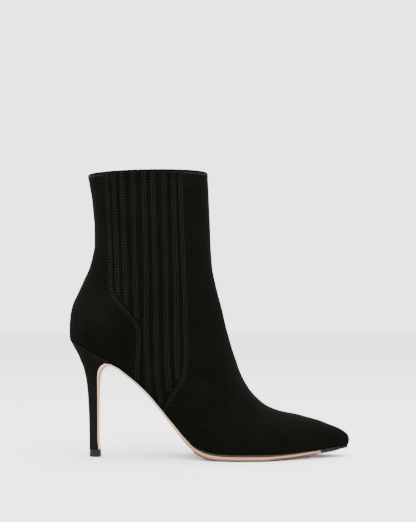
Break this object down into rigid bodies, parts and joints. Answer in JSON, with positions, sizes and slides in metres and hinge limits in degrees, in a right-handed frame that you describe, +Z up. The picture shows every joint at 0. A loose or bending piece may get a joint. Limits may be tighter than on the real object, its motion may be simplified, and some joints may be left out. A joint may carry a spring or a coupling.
{
  "type": "stiletto ankle bootie",
  "caption": "Pointed pull-on ankle bootie in black suede with covered stretch side panels, a slim stiletto heel and a nude leather sole, right shoe.",
  "frame": {"origin": "middle of the overall footprint, on the floor that the shoe stands on", "axes": "+X points to the toe, +Y to the inner side of the foot, +Z up"},
  "size_m": [0.2249, 0.0767, 0.2276],
  "materials": {
    "black_suede": "black suede, dry nap",
    "black_suede_panel": "black suede strips sewn over stretch cloth",
    "heel_suede": "black suede glued over a moulded heel",
    "black_edge_lacquer": "glossy black edge",
    "nude_leather": "smooth nude leather with a waxed edge",
    "tan_leather_lining": "smooth tan lining leather",
    "black_toe_rubber": "matt black rubber",
    "dark_heel_rubber": "hard dark grey rubber"
  },
  "bodies": {
    "root": {"upper": "black_suede", "gore_panel_lateral": "black_suede_panel", "gore_panel_medial": "black_suede_panel", "rand": "black_edge_lacquer", "insole": "tan_leather_lining", "outsole": "nude_leather", "toe_tip": "black_toe_rubber", "heel": "heel_suede", "top_piece": "dark_heel_rubber"}
  },
  "joints": []
}
